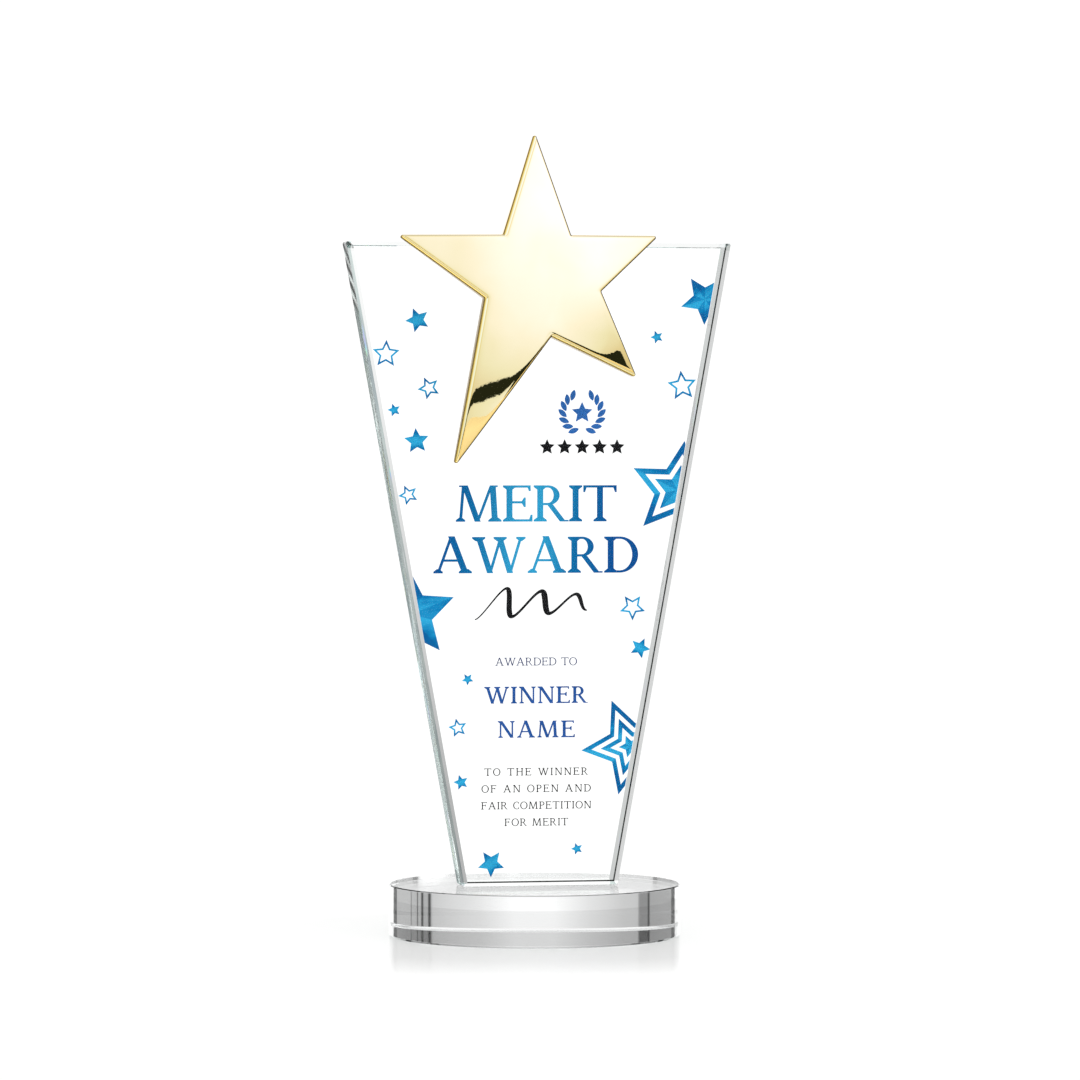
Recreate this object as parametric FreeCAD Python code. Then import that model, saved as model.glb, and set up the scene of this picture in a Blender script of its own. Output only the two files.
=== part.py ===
import FreeCAD, Part
import math
import os

# Star trophy: a tapered crystal plate on a round crystal foot, a metal star bonded to its face,
# and ink layers on the back of the plate. All lengths are in millimetres.
#
# Frame: origin at the centre of the foot's underside, +Z up, the decorated face looks along -Y.

# ---- foot ----
BASE_RADIUS = 45.0
BASE_HEIGHT = 16.0
BASE_RIM_CHAMFER = 0.6
BASE_BOND = 0.15

# ---- plate ----
PLATE_BOTTOM_WIDTH = 48.8
PLATE_TOP_WIDTH = 120.2
PLATE_HEIGHT = 198.0
PLATE_THICKNESS = 12.0
PLATE_Y = -5.0
PLATE_SIDE_CHAMFER = 1.7
PLATE_END_CHAMFER = 1.25
PLATE_CORNER_CHAMFER = 0.5
PLATE_BOTTOM = BASE_HEIGHT + BASE_BOND
PLATE_TOP = PLATE_BOTTOM + PLATE_HEIGHT
PLATE_FRONT = PLATE_Y - PLATE_THICKNESS / 2
PLATE_BACK = PLATE_Y + PLATE_THICKNESS / 2

# ---- metal star: outline as (x, z), tip and notch in turn, clockwise from the top tip ----
STAR_THICKNESS = 6.0
STAR_BEVEL = 1.2
STAR_TIP_RADIUS = 0.6
STAR_NOTCH_RADIUS = 0.4
STAR_OUTLINE = [
    (-2.2, 248.1), (8.7, 216.2),
    (36.3, 216.2), (18.0, 199.0),
    (29.4, 172.3), (2.4, 185.0),
    (-27.7, 144.5), (-18.3, 196.8),
    (-45.0, 216.1), (-12.4, 216.3),
]
STAR_BOND = 0.3
STAR_BOND_INSET = 2.5

# ---- ink ----
INK = 0.06
WHITE_INK = 0.05
INK_MARGIN = 0.1
STAR_INNER_RATIO = 0.48

# Printed stars: x, z, tip radius, tilt in degrees, border width (0 is a solid star).
SMALL_STARS = [
    (-37.1, 190.3, 3.9, 22, 0), (-44.4, 162.6, 2.1, 16, 0), (-37.4, 153.1, 4.0, 5, 0),
    (-21.5, 79.6, 1.9, 34, 0), (-23.6, 47.8, 2.4, 16, 0), (-14.2, 22.6, 4.3, 35, 0),
    (12.8, 26.8, 1.9, 18, 0), (32.7, 88.9, 3.3, -26, 0), (38.0, 185.3, 2.1, 20, 0),
    (-46.9, 179.8, 4.4, -2, 0.55), (-33.6, 169.4, 3.6, 25, 0.55), (-40.0, 136.5, 3.2, 24, 0.5),
    (-24.6, 64.6, 3.0, 12, 0.5), (30.3, 101.6, 4.2, 36, 0.55), (46.0, 170.2, 4.8, 6, 0.6),
]
# Large stars run off the edge of the plate: x, z, tip radius, tilt, and the widths of the nested
# bands from outside in, alternately inked and clear. What the bands leave in the middle is inked.
LARGE_STARS = [
    (53.2, 197.0, 7.9, 34.5, []),
    (-39.3, 99.8, 14.4, 3.0, []),
    (44.5, 137.8, 15.5, -8.4, [1.75, 1.4]),
    (29.5, 58.4, 15.4, 22.2, [1.35, 1.2, 1.3, 1.1]),
]

# Lines of capitals: text, width, baseline height, cap height.
TITLE_LINES = [("MERIT", 50.6, 128.2, 11.2), ("AWARD", 64.4, 112.3, 11.2)]
AWARD_LINE = [("AWARDED TO", 25.6, 83.7, 2.45)]
RECIPIENT_LINES = [("WINNER", 32.2, 72.0, 5.2), ("NAME", 24.2, 61.4, 5.2)]
CITATION_LINES = [
    ("TO THE WINNER", 32.6, 49.7, 2.3), ("OF AN OPEN AND", 34.4, 44.5, 2.3),
    ("FAIR COMPETITION", 34.6, 39.3, 2.3), ("FOR MERIT", 20.0, 34.1, 2.3),
]

# Side of a cutting block, larger than anything it cuts.
BLOCK_SIZE = 500.0

FLOURISH_CENTRE_Z = 103.0
FLOURISH_HALF_WIDTH = 17.0
FLOURISH_LIFT = 5.0
FLOURISH_PEN = 1.9

EMBLEM_X = 14.4
EMBLEM_Z = 161.8
EMBLEM_RADIUS = 6.8
RATING_Z = 151.2
RATING_STAR_RADIUS = 2.5
RATING_PITCH = 5.5


# ---- general helpers ----
def outline_face(points, y):
    """A flat face in the plane at this y from (x, z) corners."""
    corners = [FreeCAD.Vector(x, y, z) for x, z in points]
    return Part.Face(Part.makePolygon(corners + corners[:1]))


def prism(points, y0, y1):
    return outline_face(points, y0).extrude(FreeCAD.Vector(0, y1 - y0, 0))


def cut_beyond(solid, point, normal):
    """Removes what lies on the outer side of a plane."""
    block = Part.makeBox(
        BLOCK_SIZE, BLOCK_SIZE, BLOCK_SIZE, FreeCAD.Vector(-BLOCK_SIZE / 2, -BLOCK_SIZE / 2, 0)
    )
    block.Placement = FreeCAD.Placement(
        FreeCAD.Vector(*point), FreeCAD.Rotation(FreeCAD.Vector(0, 0, 1), FreeCAD.Vector(*normal))
    )
    return solid.cut(block)


def fuse_all(solids):
    """One solid from pieces that touch or overlap."""
    if len(solids) == 1:
        return solids[0]
    return solids[0].multiFuse(solids[1:]).removeSplitter()


def export(node, shape):
    shape.exportStep("parts/%s.step" % node)


# ---- foot ----
def base_disc():
    rim = BASE_RIM_CHAMFER
    profile = [
        (0, 0), (BASE_RADIUS - rim, 0), (BASE_RADIUS, rim),
        (BASE_RADIUS, BASE_HEIGHT - rim), (BASE_RADIUS - rim, BASE_HEIGHT), (0, BASE_HEIGHT),
    ]
    face = outline_face(profile, 0)
    return face.revolve(FreeCAD.Vector(0, 0, 0), FreeCAD.Vector(0, 0, 1), 360)


def base_bond():
    """The cured adhesive film under the plate's flat bottom."""
    width = PLATE_BOTTOM_WIDTH - 2 * PLATE_SIDE_CHAMFER
    depth = PLATE_THICKNESS - 2 * PLATE_END_CHAMFER
    corner = FreeCAD.Vector(-width / 2, PLATE_Y - depth / 2, BASE_HEIGHT)
    return Part.makeBox(width, depth, BASE_BOND, corner)


# ---- plate ----
def half_width(z):
    share = (z - PLATE_BOTTOM) / PLATE_HEIGHT
    return (PLATE_BOTTOM_WIDTH + share * (PLATE_TOP_WIDTH - PLATE_BOTTOM_WIDTH)) / 2


def plate_outline():
    return [
        (-half_width(PLATE_BOTTOM), PLATE_BOTTOM), (half_width(PLATE_BOTTOM), PLATE_BOTTOM),
        (half_width(PLATE_TOP), PLATE_TOP), (-half_width(PLATE_TOP), PLATE_TOP),
    ]


def award_plate():
    """The tapered block, with a polished chamfer round both faces and a small one on each corner."""
    outline = plate_outline()
    solid = prism(outline, PLATE_FRONT, PLATE_BACK)
    normals = []
    for i, (x0, z0) in enumerate(outline):
        x1, z1 = outline[(i + 1) % 4]
        length = math.hypot(x1 - x0, z1 - z0)
        normals.append(((z1 - z0) / length, (x0 - x1) / length))
    for i, (x, z) in enumerate(outline):
        nx, nz = normals[i]
        chamfer = PLATE_SIDE_CHAMFER if i % 2 else PLATE_END_CHAMFER
        for face_y, side in ((PLATE_FRONT, -1), (PLATE_BACK, 1)):
            point = (x, face_y - side * chamfer, z)
            solid = cut_beyond(solid, point, (nx, side, nz))
        px, pz = normals[i - 1]
        tangent = (-nz, nx)
        point = (x + tangent[0] * PLATE_CORNER_CHAMFER, 0, z + tangent[1] * PLATE_CORNER_CHAMFER)
        solid = cut_beyond(solid, point, (nx + px, 0, nz + pz))
    return solid


def flat_area(inset):
    """The corners of a plate face inside its chamfer."""
    bottom = PLATE_BOTTOM + PLATE_END_CHAMFER + inset
    top = PLATE_TOP - PLATE_END_CHAMFER - inset
    slope = (PLATE_TOP_WIDTH - PLATE_BOTTOM_WIDTH) / 2 / PLATE_HEIGHT
    side = (PLATE_SIDE_CHAMFER + inset) * math.hypot(1, slope)
    low, high = half_width(bottom) - side, half_width(top) - side
    return [(-low, bottom), (low, bottom), (high, top), (-high, top)]


# ---- metal star ----
def inset_outline(points, distance):
    """Moves every side of a clockwise outline inward by the same distance."""
    inset = []
    count = len(points)
    for i in range(count):
        sides = []
        for a, b in ((points[i - 1], points[i]), (points[i], points[(i + 1) % count])):
            length = math.hypot(b[0] - a[0], b[1] - a[1])
            sides.append(((b[0] - a[0]) / length, (b[1] - a[1]) / length))
        (ax, az), (bx, bz) = sides
        turn = ax * bz - az * bx
        reach = distance / turn
        inset.append((points[i][0] + reach * (ax - bx), points[i][1] + reach * (az - bz)))
    return inset


def rounded_prism(points, radii, y0, y1):
    """A prism whose upright edges are rounded by an arc at each corner."""
    edges = []
    ends = []
    count = len(points)
    for i in range(count):
        corner = FreeCAD.Vector(points[i][0], y0, points[i][1])
        before = FreeCAD.Vector(points[i - 1][0], y0, points[i - 1][1]) - corner
        after = FreeCAD.Vector(points[(i + 1) % count][0], y0, points[(i + 1) % count][1]) - corner
        before.normalize()
        after.normalize()
        half_angle = before.getAngle(after) / 2
        reach = radii[i] / math.tan(half_angle)
        middle = (before + after).normalize() * (radii[i] / math.sin(half_angle) - radii[i])
        start, end = corner + before * reach, corner + after * reach
        edges.append(Part.Arc(start, corner + middle, end).toShape())
        ends.append((start, end))
    for i in range(count):
        edges.append(Part.makeLine(ends[i][1], ends[(i + 1) % count][0]))
    wire = Part.Wire(Part.__sortEdges__(edges))
    return Part.Face(wire).extrude(FreeCAD.Vector(0, y1 - y0, 0))


def star_casting():
    """The thick star, bevelled all round its front face, with blunt tips."""
    back = PLATE_FRONT - STAR_BOND
    front = back - STAR_THICKNESS
    solid = prism(STAR_OUTLINE, back, front)
    rim = [e for e in solid.Edges if all(abs(v.Y - front) < 1e-6 for v in e.Vertexes)]
    solid = solid.makeChamfer(STAR_BEVEL, rim)
    radii = [STAR_TIP_RADIUS, STAR_NOTCH_RADIUS] * (len(STAR_OUTLINE) // 2)
    return solid.common(rounded_prism(STAR_OUTLINE, radii, back, front))


def star_bond():
    """The clear adhesive film between the star and the plate's front face."""
    pad = prism(inset_outline(STAR_OUTLINE, STAR_BOND_INSET), PLATE_FRONT, PLATE_FRONT - STAR_BOND)
    return pad.common(prism(flat_area(1.0), PLATE_FRONT, PLATE_FRONT - STAR_BOND))


# ---- ink: printed stars ----
def ink_prism(points):
    return prism(points, PLATE_BACK, PLATE_BACK + INK)


def star_points(x, z, radius, tilt):
    points = []
    for i in range(10):
        reach = radius if i % 2 == 0 else radius * STAR_INNER_RATIO
        angle = math.radians(90 + tilt + 36 * i)
        points.append((x + reach * math.cos(angle), z + reach * math.sin(angle)))
    return points


def inset_radius(radius, border):
    """The tip radius of the similar star that lies a border width inside."""
    ratio = STAR_INNER_RATIO
    to_side = ratio * math.sin(math.pi / 5) / math.sqrt(1 + ratio**2 - 2 * ratio * math.cos(math.pi / 5))
    return radius - border / to_side


def banded_star(x, z, radius, tilt, bands):
    """Inked rings and a solid core: bands are the widths from outside in, inked first."""
    radii = [radius]
    for width in bands:
        radii.append(inset_radius(radii[-1], width))
    pieces = []
    for i in range(0, len(radii), 2):
        piece = ink_prism(star_points(x, z, radii[i], tilt))
        if i + 1 < len(radii):
            piece = piece.cut(ink_prism(star_points(x, z, radii[i + 1], tilt)))
        pieces.append(piece)
    return pieces


def small_stars():
    pieces = []
    for x, z, radius, tilt, border in SMALL_STARS:
        star = ink_prism(star_points(x, z, radius, tilt))
        if border:
            star = star.cut(ink_prism(star_points(x, z, inset_radius(radius, border), tilt)))
        pieces.append(star)
    return pieces


def large_stars():
    printable = ink_prism(flat_area(INK_MARGIN))
    pieces = []
    for x, z, radius, tilt, bands in LARGE_STARS:
        for piece in banded_star(x, z, radius, tilt, bands):
            pieces += piece.common(printable).Solids
    return pieces


# ---- ink: roman capitals ----
# A letter is drawn in units of the cap height, from strokes of two weights. SLAB, BRACKET and
# OVERHANG shape the serifs.
SLAB = 0.045
BRACKET = 0.12
OVERHANG = 0.1


def upright(x, weight):
    """A straight stem with bracketed serifs at both ends; x is its left side."""
    left, right = x - OVERHANG, x + weight + OVERHANG
    return [
        (left, 0), (right, 0), (right, SLAB), (x + weight, BRACKET),
        (x + weight, 1 - BRACKET), (right, 1 - SLAB), (right, 1),
        (left, 1), (left, 1 - SLAB), (x, 1 - BRACKET), (x, BRACKET), (left, SLAB),
    ]


def slanted(x0, z0, x1, z1, weight):
    """A leaning stroke between two centres, with level ends."""
    half = weight / 2
    return [(x0 - half, z0), (x0 + half, z0), (x1 + half, z1), (x1 - half, z1)]


def serif(x, z, up, weight):
    """A bracketed serif at a stroke's end; up is 1 at the foot and -1 at the head."""
    half, neck = weight / 2 + OVERHANG, weight / 2
    return [
        (x - half, z), (x + half, z), (x + half, z + up * SLAB), (x + neck, z + up * BRACKET),
        (x - neck, z + up * BRACKET), (x - half, z + up * SLAB),
    ]


def level(x0, x1, z, weight):
    """A level stroke whose lower side is at z."""
    return [(x0, z), (x1, z), (x1, z + weight), (x0, z + weight)]


def spur(x, z, away, weight):
    """The wedge at the end of an arm: it rises from (x, z) by away."""
    return [(x, z), (x, z + away), (x - 0.05, z + away), (x - 0.05 - weight, z)]


def bowl(x, z, half_wide, half_high, stem, thin, keep=None):
    """An oval ring, thick at its sides; keep limits it to a box x0, z0, x1, z1."""
    return ("bowl", x, z, half_wide, half_high, stem, thin, keep)


def letter(name, stem, thin):
    """The strokes of one capital, and its width."""
    arm = 0.16
    if name == "I":
        return [upright(OVERHANG, stem)], stem + 2 * OVERHANG
    if name in "EF":
        wide = 0.78
        strokes = [
            upright(OVERHANG, stem), level(OVERHANG, wide, 1 - thin, thin), spur(wide, 1, -arm, thin),
            level(OVERHANG, wide - 0.14, 0.5, thin), spur(wide - 0.14, 0.52 + thin / 2, arm * 0.7, thin),
            spur(wide - 0.14, 0.48 + thin / 2, -arm * 0.7, thin),
        ]
        if name == "E":
            strokes += [level(OVERHANG, wide + 0.03, 0, thin), spur(wide + 0.05, 0, arm * 1.2, thin)]
        return strokes, wide + 0.05
    if name == "T":
        wide = 0.94
        left = [(wide - x, z) for x, z in spur(wide, 1, -arm * 1.2, thin)]
        return [
            slanted(wide / 2, 0, wide / 2, 1, stem), serif(wide / 2, 0, 1, stem),
            level(0, wide, 1 - thin, thin), spur(wide, 1, -arm * 1.2, thin), left,
        ], wide
    if name in "PR":
        strokes = [
            upright(OVERHANG, stem), level(OVERHANG, 0.42, 1 - thin, thin),
            level(OVERHANG, 0.42, 0.45, thin),
            bowl(0.4, 0.725, 0.33, 0.275, stem, thin, (0.4, 0.4, 0.8, 1.1)),
        ]
        if name == "P":
            return strokes, 0.73
        leg = [slanted(0.46, 0.47, 0.82, 0, stem), level(0.74, 0.98, 0, SLAB)]
        return strokes + leg, 0.96
    if name == "D":
        return [
            upright(OVERHANG, stem), level(OVERHANG, 0.46, 1 - thin, thin), level(OVERHANG, 0.46, 0, thin),
            bowl(0.44, 0.5, 0.52, 0.5, stem, thin, (0.44, -0.1, 1.1, 1.1)),
        ], 0.97
    if name == "O":
        return [bowl(0.5, 0.5, 0.5, 0.52, stem, thin)], 1.0
    if name == "C":
        return [
            bowl(0.5, 0.5, 0.5, 0.52, stem, thin, (-0.1, -0.1, 0.74, 1.1)),
            spur(0.8, 0.92, -0.2, thin), spur(0.8, 0.08, 0.2, thin),
        ], 0.82
    if name == "A":
        top = 1.02
        return [
            slanted(0.13, 0, 0.5, top, thin * 1.3), slanted(0.89, 0, 0.5, top, stem * 1.1),
            level(0.24, 0.78, 0.32, thin), serif(0.13, 0, 1, thin), serif(0.89, 0, 1, stem),
        ], 1.06
    if name == "N":
        return [
            slanted(0.17, 0, 0.17, 1, thin * 1.2), serif(0.17, 0, 1, thin), serif(0.14, 1, -1, thin),
            slanted(0.18, 1, 0.86, 0, stem * 1.15),
            slanted(0.88, 0, 0.88, 1, thin * 1.2), serif(0.88, 1, -1, thin),
        ], 1.02
    if name == "M":
        return [
            slanted(0.14, 0, 0.22, 1, thin * 1.3), serif(0.14, 0, 1, thin), level(0.1, 0.3, 1 - SLAB, SLAB),
            slanted(0.26, 1, 0.62, 0, stem), slanted(0.62, 0, 1.0, 1, thin * 1.3),
            slanted(1.1, 0, 1.04, 1, stem), serif(1.1, 0, 1, stem), level(0.96, 1.18, 1 - SLAB, SLAB),
        ], 1.29
    if name == "W":
        return [
            slanted(0.14, 1, 0.46, 0, stem), slanted(0.46, 0, 0.76, 1, thin * 1.3),
            slanted(0.72, 1, 1.02, 0, stem), slanted(1.02, 0, 1.32, 1, thin * 1.3),
            serif(0.14, 1, -1, stem), serif(0.74, 1, -1, stem), serif(1.32, 1, -1, thin),
        ], 1.45
    if name == "H":
        far = 1.0 - OVERHANG - stem
        return [upright(OVERHANG, stem), upright(far, stem), level(OVERHANG, far, 0.48, thin)], 1.0
    raise ValueError("no drawing for the letter " + name)


def oval(x, z, half_wide, half_high):
    """An elliptic cylinder through the ink layer."""
    centre = FreeCAD.Vector(x, PLATE_BACK, z)
    wide, high = FreeCAD.Vector(half_wide, 0, 0), FreeCAD.Vector(0, 0, half_high)
    long_axis, short_axis = (wide, high) if half_wide >= half_high else (high, wide)
    curve = Part.Ellipse(centre + long_axis, centre + short_axis, centre)
    return Part.Face(Part.Wire(curve.toShape())).extrude(FreeCAD.Vector(0, INK, 0))


def stroke_solid(stroke, left, baseline, size):
    """One stroke at its place on the plate."""
    if stroke[0] != "bowl":
        return ink_prism([(left + x * size, baseline + z * size) for x, z in stroke])
    x, z, half_wide, half_high, stem, thin, keep = stroke[1:]
    centre = (left + x * size, baseline + z * size)
    ring = oval(*centre, half_wide * size, half_high * size)
    ring = ring.cut(oval(*centre, (half_wide - stem) * size, (half_high - thin) * size))
    if keep:
        x0, z0, x1, z1 = keep
        box = [(x0, z0), (x1, z0), (x1, z1), (x0, z1)]
        ring = ring.common(ink_prism([(left + a * size, baseline + b * size) for a, b in box]))
    return ring


def text_lines(lines, stem, thin):
    """Centred lines of capitals, one solid per letter. Spaces between letters fill out the width."""
    space = 0.45
    pieces = []
    for text, width, baseline, size in lines:
        letters = [letter(c, stem, thin) if c != " " else ([], space) for c in text]
        free = width - size * sum(w for strokes, w in letters)
        gap = free / (len(text) - 1)
        left = -width / 2
        for strokes, wide in letters:
            if strokes:
                pieces.append(fuse_all([stroke_solid(s, left, baseline, size) for s in strokes]))
            left += wide * size + gap
    return pieces


# ---- ink: flourish and emblem ----
def flourish():
    """A slanting pen squiggle whose waves shrink from left to right, thick on each downstroke."""
    waves = 3
    steps = 32 * waves
    slant = 0.45
    end = 2 * math.pi * waves

    def centre_line(t):
        lift = -FLOURISH_LIFT * (1 - 0.55 * t / end) * math.cos(t)
        return FLOURISH_HALF_WIDTH * (2 * t / end - 1) + slant * lift, FLOURISH_CENTRE_Z + lift

    def sides(t):
        near = 1e-3
        (ax, az), (bx, bz) = centre_line(t - near), centre_line(t + near)
        length = math.hypot(bx - ax, bz - az)
        ux, uz = (bx - ax) / length, (bz - az) / length
        taper = 0.25 + 0.75 * math.sin(t / end * math.pi) ** 0.5
        half = FLOURISH_PEN / 2 * taper * (0.65 - 0.35 * uz)
        x, z = centre_line(t)
        return (x - uz * half, z + ux * half), (x + uz * half, z - ux * half)

    points = [sides(min(end * k / steps, end - 1e-6)) for k in range(steps + 1)]
    curves = []
    for side in (0, 1):
        spline = Part.BSplineCurve()
        spline.interpolate([FreeCAD.Vector(p[side][0], PLATE_BACK, p[side][1]) for p in points])
        curves.append(spline.toShape())
    ends = [Part.makeLine(*[FreeCAD.Vector(x, PLATE_BACK, z) for x, z in points[k]]) for k in (0, -1)]
    wire = Part.Wire(Part.__sortEdges__(curves + ends))
    return [Part.Face(wire).extrude(FreeCAD.Vector(0, INK, 0))]


def leaf(angle, radius, length):
    """A pointed leaf that starts on a circle round the emblem's centre and leans along it."""
    lean = math.radians(angle)
    side = 1 if math.cos(lean) > 0 else -1
    root = (EMBLEM_X + radius * math.cos(lean), EMBLEM_Z + radius * math.sin(lean))
    heading = lean + side * math.radians(58)
    along = FreeCAD.Vector(math.cos(heading), 0, math.sin(heading))
    across = FreeCAD.Vector(-along.z, 0, along.x)
    start = FreeCAD.Vector(root[0], PLATE_BACK, root[1])
    end = start + along * length
    middle = start + along * (length / 2)
    bulge = length * 0.23
    arcs = [Part.Arc(start, middle + across * bulge * s, end).toShape() for s in (1, -1)]
    return Part.Face(Part.Wire(Part.__sortEdges__(arcs))).extrude(FreeCAD.Vector(0, INK, 0))


def emblem():
    """A laurel wreath, open at the top, round a small star."""
    leaf_length = EMBLEM_RADIUS * 0.52
    ring = EMBLEM_RADIUS * 0.74
    pieces = [ink_prism(star_points(EMBLEM_X, EMBLEM_Z, EMBLEM_RADIUS * 0.5, 0))]
    for step in range(7):
        for mirrored in (False, True):
            angle = -78 + step * 21
            pieces.append(leaf(180 - angle if mirrored else angle, ring, leaf_length))
    return pieces


def rating_row():
    """Five small stars under the emblem."""
    return [
        ink_prism(star_points(EMBLEM_X + k * RATING_PITCH, RATING_Z, RATING_STAR_RADIUS, 0))
        for k in (-2, -1, 0, 1, 2)
    ]


def white_backing(colour_pieces):
    """The opaque white layer printed over every coloured piece."""
    pieces = []
    for solid in colour_pieces:
        layer = [f for f in solid.Faces if all(abs(v.Y - PLATE_BACK - INK) < 1e-6 for v in f.Vertexes)]
        for face in layer:
            pieces.append(face.extrude(FreeCAD.Vector(0, WHITE_INK, 0)))
    return pieces


# ---- build ----
os.makedirs("parts", exist_ok=True)

export("base_disc", base_disc())
export("base_bond", base_bond())
export("award_plate", award_plate())
export("star_bond", star_bond())
export("star_casting", star_casting())

ink_layers = {
    "print_title": text_lines(TITLE_LINES, 0.17, 0.065),
    "print_flourish": flourish(),
    "print_award_line": text_lines(AWARD_LINE, 0.13, 0.08),
    "print_recipient": text_lines(RECIPIENT_LINES, 0.18, 0.08),
    "print_citation": text_lines(CITATION_LINES, 0.14, 0.085),
    "print_emblem": emblem(),
    "print_rating": rating_row(),
    "print_small_stars": small_stars(),
    "print_large_stars": large_stars(),
}
for node, pieces in ink_layers.items():
    export(node, Part.makeCompound(pieces))
every_piece = [piece for pieces in ink_layers.values() for piece in pieces]
export("print_white_backing", Part.makeCompound(white_backing(every_piece)))
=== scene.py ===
import math

import bmesh
import bpy
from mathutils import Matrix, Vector
from mathutils.geometry import delaunay_2d_cdt


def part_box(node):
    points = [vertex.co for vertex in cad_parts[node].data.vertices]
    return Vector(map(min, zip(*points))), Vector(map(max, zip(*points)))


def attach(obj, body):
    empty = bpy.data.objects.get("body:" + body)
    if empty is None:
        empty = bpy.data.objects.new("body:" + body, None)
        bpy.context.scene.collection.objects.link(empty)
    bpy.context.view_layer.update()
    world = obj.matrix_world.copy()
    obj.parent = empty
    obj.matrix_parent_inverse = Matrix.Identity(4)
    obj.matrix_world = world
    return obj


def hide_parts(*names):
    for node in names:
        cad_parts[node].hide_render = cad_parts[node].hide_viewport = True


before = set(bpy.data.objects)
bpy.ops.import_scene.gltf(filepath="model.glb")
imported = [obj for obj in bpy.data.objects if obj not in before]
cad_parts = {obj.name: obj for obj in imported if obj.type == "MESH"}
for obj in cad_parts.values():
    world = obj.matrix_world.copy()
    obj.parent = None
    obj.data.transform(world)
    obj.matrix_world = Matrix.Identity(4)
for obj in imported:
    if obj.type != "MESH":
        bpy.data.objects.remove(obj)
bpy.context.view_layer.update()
MM = 0.001

# ---------------------------------------------------------------- places taken from the frame
plate_low, plate_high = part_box("award_plate")
disc_low, disc_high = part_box("base_disc")
star_low, star_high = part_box("star_casting")

# ---------------------------------------------------------------- camera, as the object is seen
CAMERA_AZIMUTH = math.radians(-10.2)
CAMERA_DISTANCE = 1.628
CAMERA_HEIGHT = 0.1537
CAMERA_SHIFT = 0.0017
CAMERA_DIP = math.radians(1.10)
CAMERA_LENS = 175.3

# Glass faces stand this far into the ink or film that touches them, so that no two faces coincide.
WETTING = 0.02 * MM


# ================================================================ node helpers
def node(tree, kind, inputs=None, **props):
    """Adds a shader node; an input may be a plain value or another node's output socket."""
    made = tree.nodes.new(kind)
    for key, value in props.items():
        setattr(made, key, value)
    for key, value in (inputs or {}).items():
        if isinstance(value, bpy.types.NodeSocket):
            tree.links.new(value, made.inputs[key])
        else:
            made.inputs[key].default_value = value
    return made


def math_node(tree, operation, a, b=0.0, c=0.0, clamp=False):
    inputs = {0: a, 1: b}
    if operation in ("MULTIPLY_ADD", "WRAP"):
        inputs[2] = c
    return node(tree, "ShaderNodeMath", inputs, operation=operation, use_clamp=clamp).outputs[0]


def product(tree, first, *others):
    for other in others:
        first = math_node(tree, "MULTIPLY", first, other)
    return first


def split(tree, vector):
    """The x, y and z of a vector."""
    return node(tree, "ShaderNodeSeparateXYZ", {0: vector}).outputs


def stretched(tree, vector, scale, rotation=(0, 0, 0)):
    """The vector turned, and scaled by its own factor along each axis."""
    inputs = {"Vector": vector, "Scale": scale, "Rotation": rotation}
    return node(tree, "ShaderNodeMapping", inputs).outputs[0]


def grey_colour(tree, level):
    return node(tree, "ShaderNodeCombineColor", {0: level, 1: level, 2: level}).outputs[0]


def facing_away(tree):
    """0 where a face is looked at straight, running up to 1 where it is looked at along its own plane."""
    return node(tree, "ShaderNodeLayerWeight").outputs["Facing"]


def light_path(tree):
    return node(tree, "ShaderNodeLightPath").outputs


def ramp(tree, factor, stops):
    """A colour ramp; stops are (position, grey or rgb)."""
    made = node(tree, "ShaderNodeValToRGB", {0: factor})
    elements = made.color_ramp.elements
    while len(elements) < len(stops):
        elements.new(0.5)
    for element, (position, colour) in zip(elements, stops):
        element.position = position
        rgb = (colour,) * 3 if isinstance(colour, (int, float)) else colour
        element.color = (*rgb, 1.0)
    return made.outputs[0]


def mix_colour(tree, factor, a, b, blend="MIX"):
    made = node(tree, "ShaderNodeMix", data_type="RGBA", blend_type=blend)
    for key, value in (("Factor", factor), ("A", a), ("B", b)):
        socket = next(s for s in made.inputs if s.name == key and s.enabled)
        if isinstance(value, bpy.types.NodeSocket):
            tree.links.new(value, socket)
        else:
            socket.default_value = value
    return next(s for s in made.outputs if s.enabled)


def mix_shader(tree, factor, a, b):
    return node(tree, "ShaderNodeMixShader", {0: factor, 1: a.outputs[0], 2: b.outputs[0]})


def noise(tree, vector, scale, detail=3.0, roughness=0.5, distortion=0.0):
    inputs = {"Vector": vector, "Scale": scale, "Detail": detail, "Roughness": roughness,
              "Distortion": distortion}
    return node(tree, "ShaderNodeTexNoise", inputs).outputs[0]


def map_range(tree, value, low, high, to_low=0.0, to_high=1.0, smooth=False):
    inputs = {0: value, 1: low, 2: high, 3: to_low, 4: to_high}
    kind = "SMOOTHSTEP" if smooth else "LINEAR"
    return node(tree, "ShaderNodeMapRange", inputs, interpolation_type=kind).outputs[0]


def object_position(tree):
    return node(tree, "ShaderNodeTexCoord").outputs["Object"]


def new_material(name):
    material = bpy.data.materials.new(name)
    material.use_nodes = True
    material.node_tree.nodes.clear()
    return material, material.node_tree


def set_surface(tree, shader):
    node(tree, "ShaderNodeOutputMaterial", {"Surface": shader})


def use_material(obj, material):
    """Gives every slot of an object this material."""
    if not obj.material_slots:
        obj.data.materials.append(material)
    for slot in obj.material_slots:
        slot.material = material


# ================================================================ mesh helpers
def new_object(name, mesh, material):
    obj = bpy.data.objects.new(name, mesh)
    bpy.context.scene.collection.objects.link(obj)
    if material:
        use_material(obj, material)
    return obj


SAME_PLACE = 1e-6


def welded_copy(node_name):
    """A bmesh of a CAD node with one face per flat side."""
    work = bmesh.new()
    work.from_mesh(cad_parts[node_name].data)
    bmesh.ops.remove_doubles(work, verts=work.verts, dist=SAME_PLACE)
    bmesh.ops.dissolve_limit(work, angle_limit=math.radians(0.5), verts=work.verts, edges=work.edges)
    return work


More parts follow.
